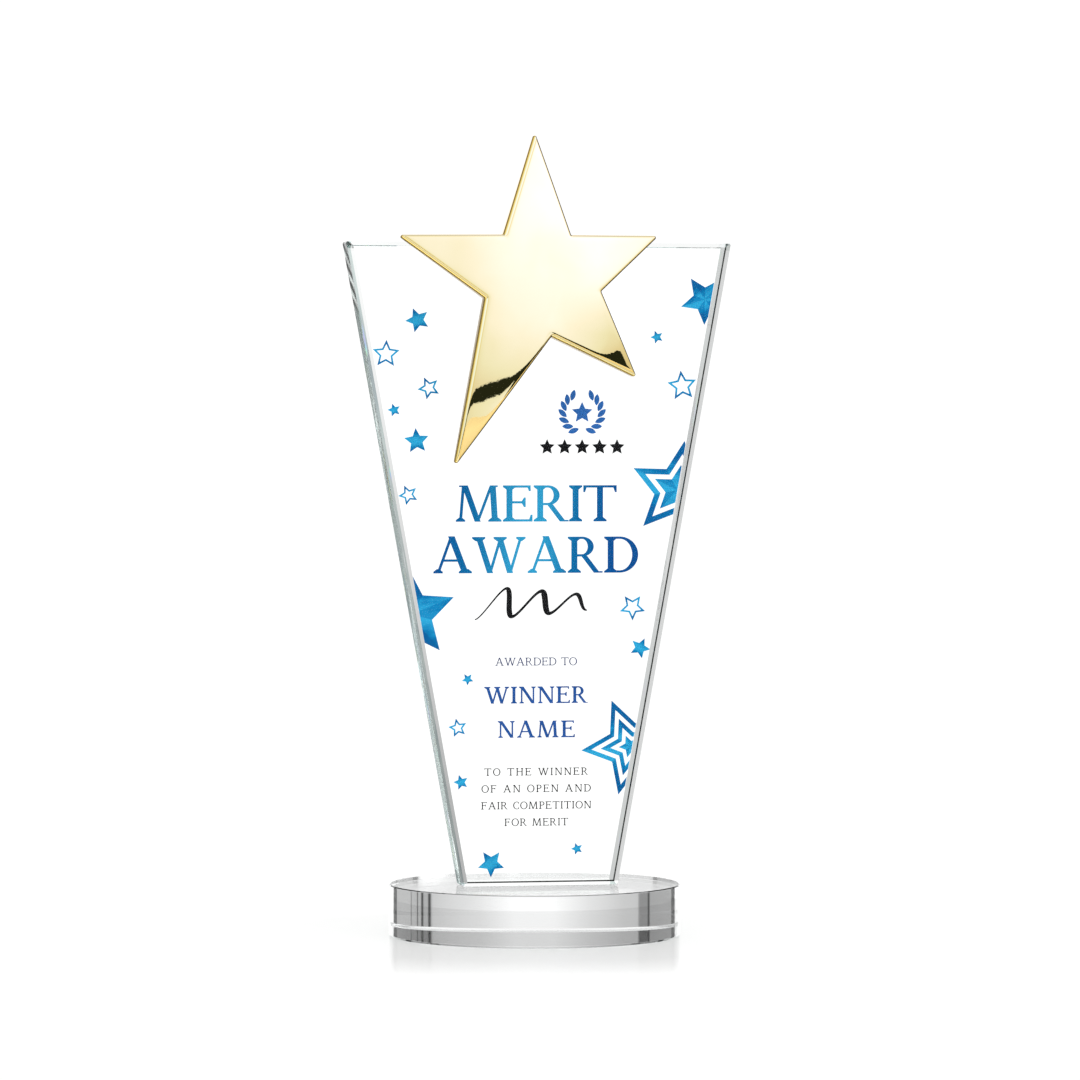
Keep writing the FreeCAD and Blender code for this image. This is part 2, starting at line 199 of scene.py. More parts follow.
def join_rings(work, rings):
    """Faces between closed rings that all have the same number of vertices."""
    for below, above in zip(rings, rings[1:]):
        for k in range(len(below)):
            j = (k + 1) % len(below)
            work.faces.new((below[k], below[j], above[j], above[k]))


def soften_edges(obj, width, segments=3):
    """Rounds the hard edges a little in small facets; the flat sides stay exactly flat."""
    bevel = obj.modifiers.new("edge_polish", "BEVEL")
    bevel.width = width
    bevel.segments = segments
    bevel.limit_method = "ANGLE"
    bevel.angle_limit = math.radians(20)


# ================================================================ crystal
CRYSTAL_IOR = 1.52
# The twisted dark bars painted on the side faces, standing in for the plate's inner reflections, begin this
# far below the plate's top, and are full a little higher.
TWIST_LOW = 23 * MM
TWIST_FADE = 4 * MM


def side_painted_reflections(tree, place):
    """Painted reflections on a side face, standing in for what the long light path inside the plate mirrors:
    grey-green painted shade in streaks that run along the edge, a few clear lens-shaped painted highlights,
    rainbow flecks, and twisted dark painted bars by the top."""
    _, y, z = split(tree, place)
    streak = noise(tree, stretched(tree, place, (0, 420, 26)), 1.0, 3.0, 0.6, 0.6)
    colour = ramp(tree, streak, [
        (0.28, (0.34, 0.39, 0.42)), (0.42, (0.50, 0.57, 0.58)), (0.52, (0.68, 0.76, 0.74)),
        (0.62, (0.60, 0.66, 0.66)), (0.70, (0.97, 0.99, 0.98)),
    ])
    fleck = noise(tree, stretched(tree, place, (0, 500, 60)), 1.0, 2.0)
    hue = noise(tree, stretched(tree, place, (0, 900, 90)), 1.0, 1.0)
    rainbow = ramp(tree, hue, [
        (0.30, (0.75, 0.55, 0.95)), (0.42, (0.50, 0.75, 1.0)), (0.50, (0.55, 1.0, 0.80)),
        (0.58, (0.95, 1.0, 0.55)), (0.68, (1.0, 0.75, 0.60)),
    ])
    colour = mix_colour(tree, map_range(tree, fleck, 0.60, 0.66), colour, rainbow)
    turn = math_node(tree, "MULTIPLY_ADD", y, -700.0, product(tree, z, 1100.0))
    turn = math_node(tree, "MULTIPLY_ADD", noise(tree, place, 160.0, 2.0), 3.0, turn)
    bars = map_range(tree, math_node(tree, "SINE", turn), -0.6, 0.9, 0.22, 1.0)
    low = plate_high.z - TWIST_LOW
    near_top = product(tree, map_range(tree, z, low, low + TWIST_FADE),
                       map_range(tree, facing_away(tree), 0.3, 0.5))
    return mix_colour(tree, near_top, colour, grey_colour(tree, bars))


def outward_normal(tree, geometry):
    """The x and z of a face's outward normal, from whichever side it is looked at."""
    nx, _, nz = split(tree, geometry["True Normal"])
    flip = math_node(tree, "MULTIPLY_ADD", geometry["Backfacing"], -2.0, 1.0)
    return product(tree, nx, flip), product(tree, nz, flip)


def side_faces(tree, nx, place):
    """1 on the plate's upright sides, and on its left chamfer except right at the front."""
    upright = math_node(tree, "GREATER_THAN", math_node(tree, "ABSOLUTE", nx), 0.9)
    _, y, _ = split(tree, place)
    left_chamfer = product(tree, math_node(tree, "LESS_THAN", nx, -0.6),
                           math_node(tree, "GREATER_THAN", y, plate_low.y + 0.9 * MM))
    return math_node(tree, "MAXIMUM", upright, left_chamfer)


def polish_film(tree, geometry, path, nz):
    """How much of a straight look at the crystal meets the thin polish film, which mirrors less than bare
    crystal: nearly all of it except where a face is seen along its own plane, and most of it on the top."""
    entering = product(tree, path["Is Camera Ray"], math_node(tree, "SUBTRACT", 1.0, geometry["Backfacing"]))
    not_aslant = math_node(tree, "LESS_THAN", facing_away(tree), 0.75)
    share = math_node(tree, "MAXIMUM", product(tree, not_aslant, 0.94),
                      product(tree, math_node(tree, "GREATER_THAN", nz, 0.9), 0.8))
    return product(tree, entering, share)


def crystal_material(name, tint, underside_painted_shade, side_wave):
    """Polished optical crystal: clear, with a trace of smudge, fine hairlines and gently wavy side polish.
    The underside takes the second colour, a painted shade that darkens what the underside mirrors; side_wave
    is how wavy the upright side faces are, and where it is not 0 the upright sides also get painted
    reflections and highlights."""
    material, tree = new_material(name)
    place = object_position(tree)
    path = light_path(tree)
    geometry = node(tree, "ShaderNodeNewGeometry").outputs
    nx, nz = outward_normal(tree, geometry)
    hairline = noise(tree, stretched(tree, place, (300, 60, 900)), 1.0, 2.0)
    polish = node(tree, "ShaderNodeBump", {"Strength": 0.0006, "Distance": 0.0002, "Height": hairline})
    lengthwise = stretched(tree, place, (60, 60, 14), (0.5, 0, 0))
    wave = noise(tree, lengthwise, 5.0, 3.0, 0.55, 0.8)
    on_side = side_faces(tree, nx, place)
    wavy = node(tree, "ShaderNodeBump", {"Strength": product(tree, on_side, side_wave), "Distance": 0.001,
                                         "Height": wave, "Normal": polish.outputs[0]})
    # The underside's colour is a painted shade: it darkens what the underside mirrors.
    colour = mix_colour(tree, math_node(tree, "LESS_THAN", nz, -0.9), tint, underside_painted_shade)
    # The upright sides get painted reflections and highlights in their colour.
    if side_wave:
        colour = mix_colour(tree, on_side, colour, side_painted_reflections(tree, place))
    glass = node(tree, "ShaderNodeBsdfGlass", {"Color": colour, "Roughness": 0.0, "IOR": CRYSTAL_IOR,
                                               "Normal": wavy.outputs[0]})
    filmed = node(tree, "ShaderNodeBsdfRefraction", {"Color": colour, "Roughness": 0.0, "IOR": CRYSTAL_IOR,
                                                     "Normal": polish.outputs[0]})
    body = mix_shader(tree, polish_film(tree, geometry, path, nz), glass, filmed)
    smudge = map_range(tree, noise(tree, place, 22.0, 4.0, 0.6, 1.2), 0.56, 0.74)
    haze = node(tree, "ShaderNodeBsdfGlass", {"Color": (0.97, 0.98, 0.98, 1), "Roughness": 0.09,
                                              "IOR": CRYSTAL_IOR})
    body = mix_shader(tree, product(tree, smudge, 0.04), body, haze)
    # Soft light passes through to what stands behind the crystal, a little dimmed.
    lets_light = math_node(tree, "MAXIMUM", path["Is Shadow Ray"], path["Is Diffuse Ray"])
    clear = node(tree, "ShaderNodeBsdfTransparent", {"Color": (0.93, 0.945, 0.94, 1)})
    shader = mix_shader(tree, lets_light, body, clear)
    set_surface(tree, shader.outputs[0])
    return material


def ground_edge_material():
    """The narrow arris left by grinding: greyer and less clear than the polished faces."""
    material, tree = new_material("ground_arris")
    place = object_position(tree)
    grain = noise(tree, place, 700.0, 3.0, 0.6)
    colour = ramp(tree, grain, [(0.3, (0.03, 0.032, 0.03)), (0.7, (0.09, 0.092, 0.09))])
    rough = map_range(tree, grain, 0.3, 0.7, 0.04, 0.14)
    bump = node(tree, "ShaderNodeBump", {"Strength": 0.1, "Distance": 0.0001, "Height": grain})
    glass = node(tree, "ShaderNodeBsdfGlass", {"Color": colour, "Roughness": rough, "IOR": CRYSTAL_IOR,
                                               "Normal": bump.outputs[0]})
    set_surface(tree, glass.outputs[0])
    return material


ARRIS_WIDTH = 0.30 * MM
PLATE_EDGE_POLISH = 0.08 * MM
ON_FACE = 0.01 * MM
WELL_RIGHT = 10 * MM
LEVEL = 1 * MM
LOWER_HALF = 100 * MM


def has_arris(edge):
    """Whether an edge is one of the front face's right or bottom edges, where grinding left an arris."""
    a, b = (v.co for v in edge.verts)
    is_front = max(a.y, b.y) < plate_low.y + ON_FACE
    is_right = min(a.x, b.x) > WELL_RIGHT
    is_bottom = abs(a.z - b.z) < LEVEL and a.z < LOWER_HALF
    return is_front and (is_right or is_bottom)


def crystal_plate(material, arris):
    """The tapered plate with finely rounded chamfer edges, and a ground arris low on the right and below."""
    work = welded_copy("award_plate")
    weight = work.edges.layers.float.new("bevel_weight_edge")
    for edge in work.edges:
        edge[weight] = 1.0 if has_arris(edge) else 0.0
    for v in work.verts:
        if abs(v.co.y - plate_low.y) < SAME_PLACE:
            v.co.y -= WETTING
        elif abs(v.co.y - plate_high.y) < SAME_PLACE:
            v.co.y += WETTING
    mesh = bpy.data.meshes.new("crystal_plate")
    work.to_mesh(mesh)
    work.free()
    plate = new_object("crystal_plate", mesh, material)
    mesh.materials.append(arris)
    ground = plate.modifiers.new("ground_arris", "BEVEL")
    ground.width = ARRIS_WIDTH
    ground.segments = 1
    ground.limit_method = "WEIGHT"
    ground.material = 1
    soften_edges(plate, PLATE_EDGE_POLISH)
    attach(plate, "root")
    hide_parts("award_plate")
    return plate


DISC_SEGMENTS = 256
DISC_LOW_CHAMFER = 0.6 * MM
DISC_HIGH_CHAMFER = 0.3 * MM
DISC_EDGE_POLISH = 0.05 * MM


def disc_corner(chamfer):
    """Radius and distance from the flat, going from the flat round to the wall."""
    radius, soft = disc_high.x, DISC_EDGE_POLISH
    return [
        (radius - chamfer - soft, 0.0), (radius - chamfer + soft * 0.3, soft * 0.35),
        (radius - soft * 0.35, chamfer - soft * 0.3), (radius, chamfer + soft),
    ]


def crystal_disc(material):
    """The round foot, turned from a profile with softly rounded rim chamfers."""
    profile = [(r, disc_low.z + z) for r, z in disc_corner(DISC_LOW_CHAMFER)]
    profile += [(r, disc_high.z - z) for r, z in reversed(disc_corner(DISC_HIGH_CHAMFER))]
    work = bmesh.new()
    rings = []
    for r, z in profile:
        turn = [2 * math.pi * k / DISC_SEGMENTS for k in range(DISC_SEGMENTS)]
        rings.append([work.verts.new((r * math.cos(a), r * math.sin(a), z)) for a in turn])
    join_rings(work, rings)
    work.faces.new(list(reversed(rings[0])))
    work.faces.new(rings[-1])
    mesh = bpy.data.meshes.new("crystal_disc")
    work.to_mesh(mesh)
    work.free()
    disc = new_object("crystal_disc", mesh, material)
    mesh.shade_smooth()
    mesh.set_sharp_from_angle(angle=math.radians(15))
    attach(disc, "root")
    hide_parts("base_disc")
    return disc


# ================================================================ metal star
# The outline in shares of the star's own box, (0, 0) at its low left and (1, 1) at its high right,
# tip and notch in turn, clockwise from the top tip. Tips are the meeting points of the sides.
STAR_CORNERS = [
    (0.5251, 1.0130), (0.6628, 0.6956), (1.0116, 0.6956), (0.7803, 0.5244), (0.9244, 0.2587),
    (0.5832, 0.3851), (0.2029, -0.0180), (0.3217, 0.5025), (-0.0157, 0.6946), (0.3962, 0.6965),
]
STAR_TIP_RADIUS = 0.6 * MM
STAR_NOTCH_RADIUS = 0.4 * MM
# The rounding's width and depth in millimetres, and how wide it is on the sides that don't face left.
STAR_ROLL_IN = 1.15
STAR_ROLL_DEEP = 1.3
NARROW_ROLL = 0.48
# The face is a shallow dome that rolls a little more towards the rounding, and the low right tip bends
# away from the rest: it starts at a place in shares of the box, and runs towards a direction.
STAR_DOME_RADIUS = 0.50
STAR_DOME_CENTRE = (0.62, 0.40)
STAR_FACE_ROLL = 0.024 * MM
STAR_FACE_ROLL_REACH = 0.4 * MM
STAR_BEND_FROM = (0.778, 0.328)
STAR_BEND_TOWARD = Vector((0.50, -0.87))
STAR_BEND_SLOPE = 0.0215
STAR_BEND_SOFT = 0.5 * MM
# The mesh: points along each side and round each corner, steps round the edge, and the face's grid.
STAR_SIDE_POINTS = 20
STAR_ARC_POINTS = 6
STAR_ROLL_STEPS = 14
STAR_FACE_STEPS = (0.15, 0.3, 0.5, 0.75, 1.1, 1.6, 2.2)
STAR_GRID = 1.5 * MM
GRID_ROW = 0.866


def star_place(u, v):
    """A place on the star from shares of its box."""
    return Vector((star_low.x + u * (star_high.x - star_low.x), star_low.z + v * (star_high.z - star_low.z)))


def roll_shares(points):
    """How wide the rounding is along each side of a clockwise outline: full where the side faces left."""
    shares = []
    for a, b in zip(points, points[1:] + points[:1]):
        outward_x = -(b - a).normalized().y
        shares.append(1.0 if outward_x < -0.2 else NARROW_ROLL)
    return shares


def inset_corners(points, distances):
    """Moves each side of a clockwise outline inward by its own distance."""
    made = []
    for i, corner in enumerate(points):
        before = (corner - points[i - 1]).normalized()
        after = (points[(i + 1) % len(points)] - corner).normalized()
        turn = before.x * after.y - before.y * after.x
        made.append(corner + before * (distances[i] / turn) - after * (distances[i - 1] / turn))
    return made


def ring_points(corners, inset):
    """A closed ring inside an outline, with rounded corners; every ring has the same point count."""
    bevel = min(inset, STAR_ROLL_IN * MM)
    distances = [share * bevel + inset - bevel for share in roll_shares(corners)]
    points = inset_corners(corners, distances)
    arcs = []
    for i, corner in enumerate(points):
        is_tip = i % 2 == 0
        nearby = (distances[i] + distances[i - 1]) / 2
        radius = max(STAR_TIP_RADIUS - nearby, 0.02 * MM) if is_tip else STAR_NOTCH_RADIUS + nearby
        before = (points[i - 1] - corner).normalized()
        after = (points[(i + 1) % len(points)] - corner).normalized()
        half = before.angle(after) / 2
        centre = corner + (before + after).normalized() * (radius / math.sin(half))
        start = corner + before * (radius / math.tan(half))
        end = corner + after * (radius / math.tan(half))
        a0 = math.atan2(*(start - centre).yx)
        a1 = math.atan2(*(end - centre).yx)
        sweep = (a1 - a0 + math.pi) % (2 * math.pi) - math.pi
        turn = [a0 + sweep * k / STAR_ARC_POINTS for k in range(STAR_ARC_POINTS + 1)]
        arcs.append([centre + Vector((math.cos(a), math.sin(a))) * radius for a in turn])
    ring = []
    for i, arc in enumerate(arcs):
        ring += arc
        start, end = arc[-1], arcs[(i + 1) % len(arcs)][0]
        ring += [start.lerp(end, k / STAR_SIDE_POINTS) for k in range(1, STAR_SIDE_POINTS)]
    return ring


def inside(point, ring):
    hit = False
    for a, b in zip(ring, ring[1:] + ring[:1]):
        if (a.y > point.y) != (b.y > point.y):
            if point.x < a.x + (b.x - a.x) * (point.y - a.y) / (b.y - a.y):
                hit = not hit
    return hit


def past_rounding(point, corners):
    """How far a point lies inside the rounding of the nearest side."""
    best = 1.0
    for a, b, share in zip(corners, corners[1:] + corners[:1], roll_shares(corners)):
        along = b - a
        part = min(1.0, max(0.0, (point - a).dot(along) / along.length_squared))
        best = min(best, (point - a - along * part).length - share * STAR_ROLL_IN * MM)
    return max(0.0, best)


def dome(point, corners):
    """How far behind its foremost plane the face lies."""
    roll = STAR_FACE_ROLL * math.exp(-past_rounding(point, corners) / STAR_FACE_ROLL_REACH)
    beyond = (point - star_place(*STAR_BEND_FROM)).dot(STAR_BEND_TOWARD) / STAR_BEND_SOFT
    bend = STAR_BEND_SLOPE * STAR_BEND_SOFT * math.log1p(math.exp(min(beyond, 30.0)))
    return (point - star_place(*STAR_DOME_CENTRE)).length_squared / (2 * STAR_DOME_RADIUS) + roll + bend


def face_grid(border):
    """An even grid of places inside a ring."""
    columns = int((star_high.x - star_low.x) / STAR_GRID) + 2
    rows = int((star_high.z - star_low.z) / (STAR_GRID * GRID_ROW)) + 2
    places = [Vector((star_low.x + (c + 0.5 * (r % 2)) * STAR_GRID, star_low.z + r * STAR_GRID * GRID_ROW))
              for r in range(rows) for c in range(columns)]
    return [p for p in places if inside(p, border)]


def star_mesh():
    """The casting: flat back, upright wall, rounded edge, and a gently domed face that rolls into it."""
    corners = [star_place(u, v) for u, v in STAR_CORNERS]
    # (inset, distance from the back or the face), in millimetres, from the back up the wall to the face
    back_edge = [(0.35, 0.0), (0.10, 0.08), (0.0, 0.3)]
    turns = [math.radians(90 - 90 * k / STAR_ROLL_STEPS) for k in range(STAR_ROLL_STEPS + 1)]
    edge = [(STAR_ROLL_IN * (1 - math.sin(t)), STAR_ROLL_DEEP * (1 - math.cos(t))) for t in turns]
    edge += [(STAR_ROLL_IN + step, 0.0) for step in STAR_FACE_STEPS]
    innermost = edge[-1][0]
    work = bmesh.new()
    rim = work.verts.layers.float.new("rim")
    rings = []
    for inset, lift in back_edge:
        points = ring_points(corners, inset * MM)
        rings.append([work.verts.new((p.x, star_high.y - lift * MM, p.y)) for p in points])
    for inset, depth in edge:
        points = ring_points(corners, inset * MM)
        rings.append([work.verts.new((p.x, star_low.y + depth * MM + dome(p, corners), p.y)) for p in points])
        for v in rings[-1]:
            v[rim] = inset / STAR_ROLL_IN
    join_rings(work, rings)
    # The middle of the face joins a grid to the innermost ring.
    grid = face_grid(ring_points(corners, innermost * MM + STAR_GRID * 0.6))
    count = len(points)
    sides = [(k, (k + 1) % count) for k in range(count)]
    flat = delaunay_2d_cdt(points + grid, sides, [], 1, 1e-7)
    verts = list(rings[-1])
    for p in flat[0][count:]:
        verts.append(work.verts.new((p.x, star_low.y + dome(p, corners), p.y)))
        verts[-1][rim] = innermost / STAR_ROLL_IN
    for face in flat[2]:
        work.faces.new([verts[i] for i in face])
    work.faces.new(rings[0])
    bmesh.ops.recalc_face_normals(work, faces=work.faces)
    mesh = bpy.data.meshes.new("gold_star")
    work.to_mesh(mesh)
    work.free()
    mesh.shade_smooth()
    # The back, made last, stays flat.
    mesh.polygons[-1].use_smooth = False
    return mesh


def gold_material():
    """Mirror-polished pale gold plating with a faint cast ripple and hairlines. Across the rounding it has
    painted reflection bands, dark orange, pale and dark gold, where the rounding starts and ends; a painted
    dark line on the rounding of sides that face right; painted shade in dull brown on the upright wall, with
    a darker sheen there; and it is unpolished on the back."""
    material, tree = new_material("pale_gold_plating")
    place = object_position(tree)
    ripple = noise(tree, place, 60.0, 2.0, 0.5, 0.4)
    grain = noise(tree, place, 900.0, 3.0, 0.6)
    tone = mix_colour(tree, map_range(tree, ripple, 0.35, 0.65), (0.97, 0.815, 0.47, 1),
                      (0.955, 0.79, 0.43, 1))
    # The rim attribute is 0 where the rounding leaves the wall and 1 where it meets the face.
    rim = product(tree, node(tree, "ShaderNodeAttribute", attribute_name="rim").outputs["Fac"], 0.5)
    # Painted reflection bands across the rounding, dark orange, pale and dark gold, standing in for what the
    # curved edge mirrors.
    painted_rim_bands = ramp(tree, rim, [
        (0.12, (0.72, 0.49, 0.09)), (0.20, (1.0, 0.83, 0.36)), (0.30, (1.0, 0.93, 0.66)),
        (0.40, (1.0, 0.93, 0.66)), (0.47, (0.86, 0.63, 0.20)), (0.60, (0.94, 0.79, 0.42)),
    ])
    tone = mix_colour(tree, map_range(tree, rim, 0.60, 0.70), painted_rim_bands, tone)
    rightward, backward, _ = split(tree, node(tree, "ShaderNodeNewGeometry").outputs["True Normal"])
    # A painted dark line, standing in for shade, on the rounding of sides that face right.
    painted_right_edge_shade = product(tree, map_range(tree, rightward, 0.15, 0.30), map_range(tree, rim, 0.50, 0.42))
    tone = mix_colour(tree, painted_right_edge_shade, tone, (0.07, 0.05, 0.02, 1))
    # Painted shade on the upright wall: dull brown.
    wall = map_range(tree, math_node(tree, "ABSOLUTE", backward), 0.30, 0.10)
    tone = mix_colour(tree, wall, tone, (0.18, 0.14, 0.055, 1))
    back = map_range(tree, backward, 0.5, 0.9)
    tone = mix_colour(tree, back, tone, (0.72, 0.56, 0.30, 1))
    # The wall's darker sheen is also painted shade.
    sheen = mix_colour(tree, wall, (1, 1, 1, 1), (0.72, 0.58, 0.38, 1))
    rough = math_node(tree, "MULTIPLY_ADD", map_range(tree, grain, 0.3, 0.8), 0.010, 0.008)
    rough = math_node(tree, "MULTIPLY_ADD", back, map_range(tree, grain, 0.3, 0.8, 0.25, 0.40), rough)
    bump = node(tree, "ShaderNodeBump", {"Strength": 0.04, "Distance": 0.0004, "Height": ripple})
    fine = node(tree, "ShaderNodeBump", {"Strength": 0.01, "Distance": 0.0001, "Height": grain,
                                         "Normal": bump.outputs[0]})
    metal = node(tree, "ShaderNodeBsdfPrincipled", {"Base Color": tone, "Metallic": 1.0, "Roughness": rough,
                                                    "Specular Tint": sheen, "Normal": fine.outputs[0]})
    set_surface(tree, metal.outputs[0])
    return material


def gold_star():
    star = new_object("gold_star", star_mesh(), gold_material())
    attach(star, "root")
    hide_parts("star_casting")
    return star


# ================================================================ adhesive films
def adhesive_material():
    """Cured clear adhesive: nearly invisible, with a few tiny trapped bubbles and a soft sheen."""
    material, tree = new_material("cured_adhesive")
    place = object_position(tree)
    cells = node(tree, "ShaderNodeTexVoronoi", {"Vector": place, "Scale": 420.0})
    bubble = math_node(tree, "LESS_THAN", cells.outputs["Distance"], 0.16)
    cloud = map_range(tree, noise(tree, place, 90.0, 4.0, 0.6), 0.35, 0.75, 0.02, 0.07)
    body = node(tree, "ShaderNodeBsdfPrincipled", {"Base Color": (0.92, 0.93, 0.92, 1), "Roughness": 0.25})
    clear = node(tree, "ShaderNodeBsdfTransparent", {"Color": (0.985, 0.99, 0.985, 1)})
    amount = math_node(tree, "MAXIMUM", cloud, product(tree, bubble, 0.4))
    set_surface(tree, mix_shader(tree, amount, clear, body).outputs[0])
    return material


# ================================================================ ink
DEEP_BLUE = (0.0, 0.085, 0.25)
MID_BLUE = (0.0, 0.14, 0.335)
SKY_BLUE = (0.018, 0.28, 0.50)


# The plate's flat front lies inside its chamfers; its half width is given at the foot and at the top.
PLATE_FOOT_SHARE = 0.4066
SIDE_CHAMFER = 1.73 * MM
END_CHAMFER = 1.30 * MM
FLAT_HALF_WIDTHS = (plate_high.x * PLATE_FOOT_SHARE - SIDE_CHAMFER, plate_high.x - SIDE_CHAMFER)


def beyond_front_face(tree):
    """1 where a look at the print came in through the plate's chamfers or sides, and 0 where it came
    straight in through the flat front or from behind."""
    geometry = node(tree, "ShaderNodeNewGeometry").outputs
    px, py, pz = split(tree, geometry["Position"])
    ix, iy, iz = split(tree, geometry["Incoming"])
    depth = math_node(tree, "DIVIDE", math_node(tree, "SUBTRACT", plate_low.y, py),
                      math_node(tree, "MINIMUM", iy, -0.05))
    x = math_node(tree, "MULTIPLY_ADD", ix, depth, px)
    z = math_node(tree, "MULTIPLY_ADD", iz, depth, pz)
    half_width = map_range(tree, z, plate_low.z, plate_high.z, *FLAT_HALF_WIDTHS)
    outside = math_node(tree, "GREATER_THAN", math_node(tree, "ABSOLUTE", x), half_width)
    middle = (plate_high.z + plate_low.z) / 2
    half_height = (plate_high.z - plate_low.z) / 2 - END_CHAMFER
    height = math_node(tree, "ABSOLUTE", math_node(tree, "SUBTRACT", z, middle))
    outside = math_node(tree, "MAXIMUM", outside, math_node(tree, "GREATER_THAN", height, half_height))
    return product(tree, outside, math_node(tree, "LESS_THAN", iy, 0.0))


INK_ROUGHNESS = (0.4, 0.55)


def finish_ink(tree, colour):
    """Turns a colour into a printed surface: fine dot texture and slight thickness variation. The crystal
    wets the ink, so it has almost no gloss of its own, and it doesn't show in the crystal's inner mirrors."""
    place = object_position(tree)
    dots = node(tree, "ShaderNodeTexVoronoi", {"Vector": place, "Scale": 5200.0}).outputs["Distance"]
    cloud = noise(tree, place, 380.0, 4.0, 0.6)
    shade = math_node(tree, "MULTIPLY_ADD", dots, -0.10, 1.04)
    shade = product(tree, shade, map_range(tree, cloud, 0.2, 0.8, 0.95, 1.05))
    colour = mix_colour(tree, 1.0, colour, grey_colour(tree, shade), "MULTIPLY")
    rough = map_range(tree, cloud, 0.2, 0.8, *INK_ROUGHNESS)
    bump = node(tree, "ShaderNodeBump", {"Strength": 0.15, "Distance": 0.00003, "Height": dots})
    mirrored = math_node(tree, "GREATER_THAN", light_path(tree)["Glossy Depth"], 0.5)
    unseen = math_node(tree, "MAXIMUM", mirrored, beyond_front_face(tree))
    ink = node(tree, "ShaderNodeBsdfPrincipled", {"Base Color": colour, "Roughness": rough,
                                                  "Specular IOR Level": 0.06, "Normal": bump.outputs[0],
                                                  "Alpha": math_node(tree, "SUBTRACT", 1.0, unseen)})
    set_surface(tree, ink.outputs[0])


def plain_ink(name, colour, other):
    material, tree = new_material(name)
    blotch = noise(tree, object_position(tree), 120.0, 3.0, 0.6)
    finish_ink(tree, mix_colour(tree, map_range(tree, blotch, 0.3, 0.7), colour, other))
    return material


TITLE_SHIFT = 12 * MM


def title_ink():
    """Blue that runs from deep at both ends of each line to sky blue left of the middle."""
    material, tree = new_material("foil_blue_title")
    low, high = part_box("print_title")
    x, _, z = split(tree, object_position(tree))
    lean = math_node(tree, "MULTIPLY_ADD", z, -0.10, x)
    across = map_range(tree, lean, low.x - TITLE_SHIFT, high.x - TITLE_SHIFT)
    ripple = noise(tree, object_position(tree), 70.0, 2.0)
    across = math_node(tree, "MULTIPLY_ADD", ripple, 0.06, across)
    deep, mid, sky = (0.0, 0.055, 0.21), (0.0, 0.10, 0.26), (0.018, 0.24, 0.43)
    stops = [(0.03, deep), (0.2, mid), (0.44, sky), (0.56, sky), (0.72, mid), (0.9, deep)]
    finish_ink(tree, ramp(tree, across, stops))
    return material


def star_ink(name, bands, facets):
    """Foil blue for printed stars: soft bands along each star's own upright, and darker facets where asked.
    The star_place attribute holds a point's place in its star, the centre at 0 and a tip at distance 1."""
    material, tree = new_material(name)
    local = node(tree, "ShaderNodeAttribute", attribute_name="star_place").outputs["Vector"]
    x, _, z = split(tree, local)
    streak = noise(tree, stretched(tree, local, (1.2, 1.0, 3.5)), 1.6, 3.0)
    wave = math_node(tree, "MULTIPLY_ADD", streak, 0.9, math_node(tree, "MULTIPLY_ADD", x, 0.15, z))
    wave = product(tree, wave, bands)
    wave = math_node(tree, "COSINE", math_node(tree, "ADD", wave, -bands * 0.45))
    amount = map_range(tree, wave, -1.0, 1.0)
    if facets:
        angle = math_node(tree, "ARCTAN2", x, z)
        side = math_node(tree, "SINE", product(tree, angle, 5.0))
        step = map_range(tree, side, -0.12, 0.12, 0.0, facets)
        amount = math_node(tree, "SUBTRACT", amount, step, clamp=True)
    stops = [(0.0, DEEP_BLUE), (0.45, MID_BLUE), (1.0, SKY_BLUE)]
    finish_ink(tree, ramp(tree, amount, stops))
    return material


# Centres of the large printed stars in shares of the plate's box, with the share of the plate's
# width that one tip reaches, and the tilt in degrees.
LARGE_STARS = [
    (0.9433, 0.9134, 0.0658, 34.5),
    (0.1726, 0.4225, 0.1200, 3.0),
    (0.8708, 0.6144, 0.1291, -8.4),
    (0.7458, 0.2134, 0.1283, 22.2),
]


def islands(mesh):
    """Groups a mesh's vertices by the separate solid they belong to."""
    key = [tuple(round(c * 1e7) for c in v.co) for v in mesh.vertices]
    parent = {k: k for k in key}

    def find(k):
        while parent[k] != k:
            parent[k] = parent[parent[k]]
            k = parent[k]
        return k

    for edge in mesh.edges:
        a, b = (find(key[i]) for i in edge.vertices)
        parent[a] = b
    groups = {}
    for i, k in enumerate(key):
        groups.setdefault(find(k), []).append(i)
    return list(groups.values())


def write_star_places(obj, stars):
    """Stores each vertex's place in its own star: stars maps a group's centre to (centre, reach, tilt)."""
    mesh = obj.data
    places = mesh.attributes.new("star_place", "FLOAT_VECTOR", "POINT")
    for group in islands(mesh):
        points = {tuple(round(c, 7) for c in (mesh.vertices[i].co.x, mesh.vertices[i].co.z)) for i in group}
        centre, reach, tilt = stars(points)
        for i in group:
            flat = Vector((mesh.vertices[i].co.x, mesh.vertices[i].co.z)) - centre
            u = flat.x * math.cos(tilt) + flat.y * math.sin(tilt)
            v = -flat.x * math.sin(tilt) + flat.y * math.cos(tilt)
            places.data[i].vector = (u / reach, 0.0, v / reach)


def own_star(points):
    """A whole star's centre, reach and tilt from its corners."""
    points = [Vector(p) for p in points]
    centre = sum(points, Vector((0, 0))) / len(points)
    tip = max(points, key=lambda p: ((p - centre).length > 0.9 * max((q - centre).length for q in points),
                                     (p - centre).y))
    offset = tip - centre
    return centre, offset.length, math.atan2(-offset.x, offset.y)


def nearest_large_star(points):
    """The large star that a cut-off piece belongs to."""
    size = plate_high - plate_low
    middle = sum((Vector(p) for p in points), Vector((0, 0))) / len(points)
    best = None
    for u, v, reach, tilt in LARGE_STARS:
        centre = Vector((plate_low.x + u * size.x, plate_low.z + v * size.z))
        if best is None or (middle - centre).length < (middle - best[0]).length:
            best = (centre, reach * size.x, math.radians(tilt))
    return best


